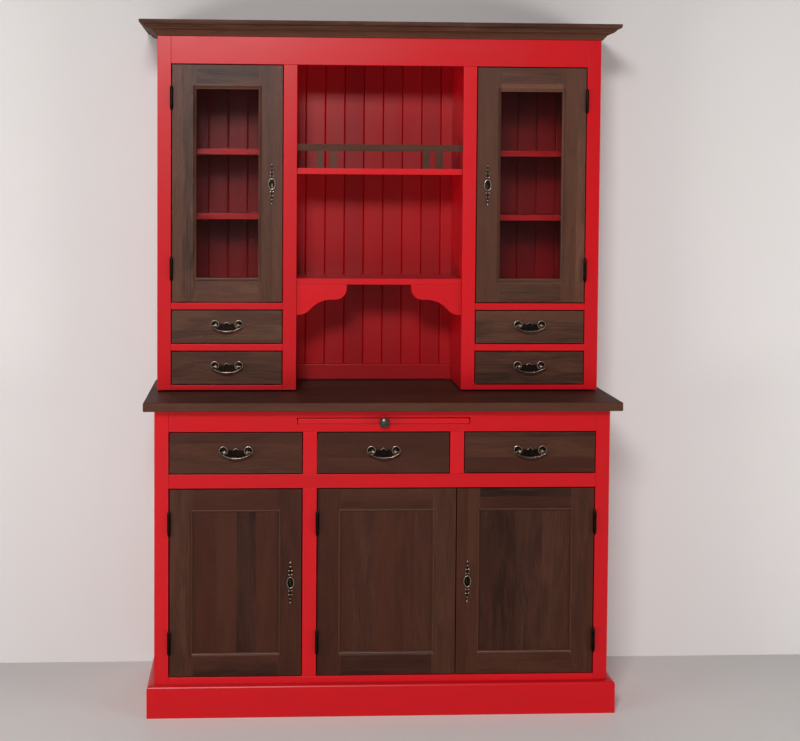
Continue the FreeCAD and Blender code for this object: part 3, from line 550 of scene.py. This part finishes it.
class BuffetFinishes(bpy.types.PropertyGroup):
    """Colours, eased edges, beads and staves of the cabinet."""
    red: colour_setting("Red lacquer", "Colour of the painted boards", "BA0A15")
    red_deep: colour_setting("Thick red lacquer", "Colour where the film lies thick", "AC0711")
    # Darker than the outer red: painted shade on the back boards of the niche, the cupboards and the base
    red_back_painted_shade: colour_setting("Red, back boards", "Colour of the shade-darkened back boards", "A40A13")
    red_back_deep_painted_shade: colour_setting("Thick red, back boards", "Back boards under a thick film", "96070F")
    oak_deep: colour_setting("Base oak, deep", "Darkest brown of the base's fronts", "170A06")
    oak_pale: colour_setting("Base oak, pale", "Palest brown of the base's fronts", "48291C")
    oak_warm: colour_setting("Base oak, warm", "Reddest brown of the base's fronts", "411D11")
    # Also the pale of the panel beads' edges, where it is partly painted highlight
    oak_wear_and_highlight: colour_setting("Oak, worn", "Brown of edges where the stain was sanded thin", "8E6A58")
    hutch_deep: colour_setting("Hutch oak, deep", "Darkest brown of the hutch's fronts", "1B0D08")
    hutch_pale: colour_setting("Hutch oak, pale", "Palest brown of the hutch's fronts", "603D2D")
    hutch_warm: colour_setting("Hutch oak, warm", "Reddest brown of the hutch's fronts", "4A281A")
    top_deep: colour_setting("Worktop, deep", "Darkest brown of worktop, cornice and gallery", "1C0E0A")
    top_pale: colour_setting("Worktop, pale", "Palest brown of worktop, cornice and gallery", "5E4134")
    top_warm: colour_setting("Worktop, warm", "Reddest brown of worktop, cornice and gallery", "4A2A1E")
    pine_early: colour_setting("Pine, early wood", "Pale wood of the drawer boxes", "D2B284")
    pine_late: colour_setting("Pine, late wood", "Dark rings and knots of the drawer boxes", "A47A4A")
    patina: colour_setting("Bronze patina", "Darkest bronze", "120C09")
    patina_brown: colour_setting("Bronze, brown", "Clouds in the dark bronze", "2A1D16")
    bronze_bright: colour_setting("Bronze, rubbed", "Bronze that shows on the high spots", "CEBBA9")
    bronze_handled: colour_setting("Bronze, handled", "Bronze of the bails, tarnished by hands", "93806F")
    bronze_dull: colour_setting("Bronze, dull", "Bronze of the knob, worn by hands", "625650")
    # A grey cast that darkens the cupboards behind the panes: painted shade
    glass: colour_setting("Glass", "Tint of the panes", "CDD1D0")
    painted_ease: length_setting("Painted edges", "Width of the eased edges of painted boards",
                                 1.0 * MM, **EASE_LIMITS)
    board_ease: length_setting("Pull-out board edges", "Width of the eased edges of the pull-out board",
                               2.0 * MM, **EASE_LIMITS)
    stained_ease: length_setting("Stained edges", "Width of the eased edges of stained boards",
                                 0.8 * MM, **EASE_LIMITS)
    pine_ease: length_setting("Pine edges", "Width of the eased edges of the drawer boxes",
                              0.6 * MM, **EASE_LIMITS)
    door_member: length_setting("Door frame", "Width of the base doors' stiles and rails", 66 * MM)
    bead_inner: length_setting("Bead, inner side", "From the frame's inner edge to the bead's near side",
                               3.0 * MM)
    bead_outer: length_setting("Bead, outer side", "From the frame's inner edge to the bead's far side",
                               6.8 * MM)
    bead_set_back: length_setting("Bead set-back", "From the door's face back to the bead's face", 2.6 * MM)
    bead_depth: length_setting("Bead depth", "From the bead's face to its back in the frame", 3.6 * MM)
    door_stave: length_setting("Door staves", "Mean width of the staves in doors and drawers", 58 * MM)
    top_stave: length_setting("Worktop staves", "Mean width of the staves in the worktop", 85 * MM)


class BuffetStage(bpy.types.PropertyGroup):
    """The plain studio round the cabinet."""
    wall: colour_setting("Wall", "Colour of the wall behind the cabinet", "CDC9C7")
    wall_mottle: colour_setting("Wall mottle", "Colour of the faint patches on the wall", "C9C4C3")
    wall_patch: length_setting("Wall patches", "Size of the patches on the wall", 0.7)
    wall_gap: length_setting("Wall gap", "Space between the cabinet's back and the wall", 12 * MM)
    floor: colour_setting("Floor", "Colour of the floor", "E4E1DE")
    floor_mottle: colour_setting("Floor mottle", "Colour of the faint patches on the floor", "DEDBD8")
    floor_mirrored: colour_setting("Floor, mirrored", "Colour of the floor in reflections", "6E6966")
    floor_patch: length_setting("Floor patches", "Size of the patches on the floor", 0.5)
    air: colour_setting("Air", "Colour of the even light from all round", "F1EEEC")
    air_level: FloatProperty(name="Air level", description="Strength of the even light", default=0.045)
    camera_place: FloatVectorProperty(name="Camera place", description="Where the camera stands",
                                      subtype="TRANSLATION", unit="LENGTH", size=3,
                                      default=(-0.35, -3.9654, 1.5075))
    camera_turn: FloatVectorProperty(name="Camera turn", description="How the camera is turned",
                                     subtype="EULER", unit="ROTATION", size=3,
                                     default=[math.radians(a) for a in (87.697, -0.325, -2.645)])
    camera_lens: FloatProperty(name="Lens", description="Focal length in millimetres", default=60.168)
    camera_film: FloatProperty(name="Film", description="Width of the film in millimetres", default=36)
    camera_shift: FloatVectorProperty(name="Shift", description="Shift of the frame on the film",
                                      size=2, default=(0.0957, -0.1623))


def made_once(recipe, name, *values):
    """The material of this name, made by its recipe when it is first asked for."""
    return bpy.data.materials.get(name) or recipe(name, *values)


def door_oak(finishes):
    """The stained oak of the base's doors and drawers."""
    return made_once(stained_oak, "dark_stained_oak",
                     finishes.oak_deep, finishes.oak_pale, finishes.oak_warm, finishes.oak_wear_and_highlight,
                     finishes.door_stave, *DOOR_SHEEN)


def hutch_oak(finishes):
    """The slightly paler oak of the hutch's doors and drawers."""
    return made_once(stained_oak, "brown_stained_oak",
                     finishes.hutch_deep, finishes.hutch_pale, finishes.hutch_warm, finishes.oak_wear_and_highlight,
                     finishes.door_stave, *DOOR_SHEEN)


class BUFFET_OT_painted_boards(bpy.types.Operator):
    """Lacquer every board of the base and the hutch"""
    bl_idname = "buffet.painted_boards"
    bl_label = "Painted boards"

    def execute(self, context):
        finishes = context.scene.buffet_finishes
        front = made_once(satin_lacquer, "red_satin_lacquer", finishes.red, finishes.red_deep)
        # A darker lacquer on the back boards: painted shade
        shaded_back_lacquer = made_once(satin_lacquer, "red_satin_lacquer_painted_shade",
                           finishes.red_back_painted_shade, finishes.red_back_deep_painted_shade)
        for node in PAINTED_BOARDS:
            lacquer = shaded_back_lacquer if node in BACK_BOARDS else front
            ease = finishes.board_ease if node == "pull_out_board" else finishes.painted_ease
            dress_wood(node, "lacquered", lacquer, ease)
        return {"FINISHED"}


class BUFFET_OT_worktop_and_trim(bpy.types.Operator):
    """Stain the worktop, the cornice and the gallery"""
    bl_idname = "buffet.worktop_and_trim"
    bl_label = "Worktop, cornice and gallery"

    def execute(self, context):
        finishes = context.scene.buffet_finishes
        oak = made_once(stained_oak, "dark_stained_oak_worktop", finishes.top_deep, finishes.top_pale,
                        finishes.top_warm, finishes.oak_wear_and_highlight, finishes.top_stave, *TOP_SHEEN)
        for node in TRIM:
            dress_wood(node, "stained", oak, finishes.stained_ease)
        return {"FINISHED"}


class BUFFET_OT_doors(bpy.types.Operator):
    """Stain the door leaves and glaze the upper ones"""
    bl_idname = "buffet.doors"
    bl_label = "Doors and glass"

    def execute(self, context):
        finishes = context.scene.buffet_finishes
        for door in BASE_DOORS:
            dress_wood(door, "stained", door_oak(finishes), finishes.stained_ease)
            add_panel_bead(door, door_oak(finishes), finishes)
        pane = made_once(float_glass, "clear_float_glass", finishes.glass)
        for door in GLAZED_DOORS:
            dress_wood(door, "stained", hutch_oak(finishes), finishes.stained_ease)
            coat_node(door + "_glass", pane)
        return {"FINISHED"}


class BUFFET_OT_drawers(bpy.types.Operator):
    """Stain the drawer fronts and leave the boxes and guides in bare pine"""
    bl_idname = "buffet.drawers"
    bl_label = "Drawers"

    def execute(self, context):
        finishes = context.scene.buffet_finishes
        pine = made_once(planed_pine, "planed_pine", finishes.pine_early, finishes.pine_late)
        for drawer in BASE_DRAWERS + HUTCH_DRAWERS:
            oak = hutch_oak(finishes) if drawer in HUTCH_DRAWERS else door_oak(finishes)
            dress_wood(drawer + "_front", "stained", oak, finishes.stained_ease)
            dress_wood(drawer + "_box", "planed", pine, finishes.pine_ease)
        dress_wood("drawer_guides", "planed", pine, finishes.pine_ease)
        return {"FINISHED"}


class BUFFET_OT_hardware(bpy.types.Operator):
    """Give pulls, bails, knob, hinges, escutcheons and locks their bronze"""
    bl_idname = "buffet.hardware"
    bl_label = "Hardware"

    def execute(self, context):
        finishes = context.scene.buffet_finishes
        dark = (finishes.patina, finishes.patina_brown)
        plates = made_once(antique_bronze, "rubbed_bronze", *dark, finishes.bronze_bright, PLATE_METAL)
        bails = made_once(antique_bronze, "handled_bronze", *dark, finishes.bronze_handled, BAIL_METAL)
        knob = made_once(antique_bronze, "dull_bronze", *dark, finishes.bronze_dull, KNOB_METAL)
        for drawer in BASE_DRAWERS + HUTCH_DRAWERS:
            dress_metal(drawer + "_pull", plates)
            dress_metal(drawer + "_bail", bails)
        for door in BASE_DOORS + GLAZED_DOORS:
            dress_metal(door + "_hardware", plates)
        dress_metal("hinge_frame_leaves", plates)
        dress_metal("board_knob", knob)
        return {"FINISHED"}


class BUFFET_OT_stage(bpy.types.Operator):
    """Set up floor, wall, lamps and camera"""
    bl_idname = "buffet.stage"
    bl_label = "Studio"

    def execute(self, context):
        stage = context.scene.buffet_stage
        self.add_floor(stage)
        self.add_wall(stage)
        for name, lamp in LAMPS.items():
            self.add_lamp(name, *lamp)
        self.add_world(stage)
        self.add_camera(context, stage)
        return {"FINISHED"}

    def add_plane(self, name, half_x, half_y):
        """A level rectangle round the origin."""
        bm = bmesh.new()
        bmesh.ops.create_grid(bm, x_segments=1, y_segments=1, size=1)
        bmesh.ops.scale(bm, vec=(half_x, half_y, 1), verts=bm.verts)
        mesh = bpy.data.meshes.new(name)
        bm.to_mesh(mesh)
        bm.free()
        plane = bpy.data.objects.new(name, mesh)
        bpy.context.scene.collection.objects.link(plane)
        return plane

    def add_floor(self, stage):
        """A floor that is darker in reflections, so that no haze lies on the base."""
        floor = self.add_plane("Floor", FLOOR_REACH, FLOOR_REACH)
        material, tree, output, shader = studio_surface(
            "studio_floor", stage.floor, stage.floor_mottle, stage.floor_patch)
        mirrored = add_node(tree, "LightPath").outputs["Is Glossy Ray"]
        dull = add_node(tree, "BsdfDiffuse", {0: stage.floor_mirrored})
        mix = add_node(tree, "MixShader", {0: mirrored, 1: shader.outputs[0], 2: dull.outputs[0]})
        floor.data.materials.append(finish_material(material, tree, output, mix))

    def add_wall(self, stage):
        """A wall that only camera, mirror and glass rays meet, and only from the front."""
        wall = self.add_plane("Wall", FLOOR_REACH, WALL_REACH)
        wall.location = (0, cad_box[1].y + stage.wall_gap, WALL_REACH)
        wall.rotation_euler = (math.radians(90), 0, 0)
        material, tree, output, shader = studio_surface(
            "studio_wall", stage.wall, stage.wall_mottle, stage.wall_patch)
        path = add_node(tree, "LightPath").outputs
        back = add_node(tree, "NewGeometry").outputs["Backfacing"]
        met = path["Is Camera Ray"]
        for ray in ("Is Glossy Ray", "Is Transmission Ray"):
            met = add_node(tree, "Math", {0: met, 1: path[ray]}, operation="MAXIMUM").outputs[0]
        shown = add_node(tree, "Math", {0: met, 1: back}, operation="SUBTRACT", use_clamp=True).outputs[0]
        clear = add_node(tree, "BsdfTransparent")
        mix = add_node(tree, "MixShader", {0: shown, 1: clear.outputs[0], 2: shader.outputs[0]})
        wall.data.materials.append(finish_material(material, tree, output, mix))

    def add_lamp(self, name, place, target, size, power, mirrored):
        """A soft rectangular lamp that points at its target."""
        data = bpy.data.lights.new(name, "AREA")
        data.shape = "RECTANGLE"
        data.size, data.size_y = size
        data.energy = power
        lamp = bpy.data.objects.new(name, data)
        lamp.location = place
        lamp.rotation_euler = (Vector(target) - Vector(place)).to_track_quat("-Z", "Y").to_euler()
        lamp.visible_glossy = mirrored
        bpy.context.scene.collection.objects.link(lamp)

    def add_world(self, stage):
        """Weak even light from all round."""
        world = bpy.data.worlds.new("Studio air")
        world.use_nodes = True
        tree = world.node_tree
        tree.nodes.clear()
        air = add_node(tree, "Background", {"Color": stage.air, "Strength": stage.air_level})
        output = add_node(tree, "OutputWorld")
        tree.links.new(air.outputs[0], output.inputs["Surface"])
        bpy.context.scene.world = world

    def add_camera(self, context, stage):
        """The camera at the photograph's place and angle."""
        data = bpy.data.cameras.new("Camera")
        data.sensor_width = stage.camera_film
        data.lens = stage.camera_lens
        data.shift_x, data.shift_y = stage.camera_shift
        camera = bpy.data.objects.new("Camera", data)
        camera.location = stage.camera_place
        camera.rotation_euler = stage.camera_turn
        context.scene.collection.objects.link(camera)
        context.scene.camera = camera
        context.scene.view_settings.view_transform = "Standard"


STEPS = (
    BUFFET_OT_painted_boards, BUFFET_OT_worktop_and_trim, BUFFET_OT_doors, BUFFET_OT_drawers,
    BUFFET_OT_hardware, BUFFET_OT_stage,
)


class BUFFET_PT_panel(bpy.types.Panel):
    """Every step of the cabinet's finish"""
    bl_idname = "BUFFET_PT_panel"
    bl_label = "Kitchen buffet cabinet"
    bl_space_type = "VIEW_3D"
    bl_region_type = "UI"
    bl_category = "Buffet"

    def draw(self, context):
        for step in STEPS:
            self.layout.operator(step.bl_idname)
        for group in (context.scene.buffet_finishes, context.scene.buffet_stage):
            for name in group.__annotations__:
                self.layout.prop(group, name)


CLASSES = (BuffetFinishes, BuffetStage, *STEPS, BUFFET_PT_panel)


def register():
    for cls in CLASSES:
        bpy.utils.register_class(cls)
    bpy.types.Scene.buffet_finishes = PointerProperty(type=BuffetFinishes)
    bpy.types.Scene.buffet_stage = PointerProperty(type=BuffetStage)


def unregister():
    del bpy.types.Scene.buffet_stage
    del bpy.types.Scene.buffet_finishes
    for cls in reversed(CLASSES):
        bpy.utils.unregister_class(cls)


def main():
    """Run every step in order."""
    register()
    bpy.ops.buffet.painted_boards()
    bpy.ops.buffet.worktop_and_trim()
    bpy.ops.buffet.doors()
    bpy.ops.buffet.drawers()
    bpy.ops.buffet.hardware()
    bpy.ops.buffet.stage()


if __name__ == "__main__":
    main()
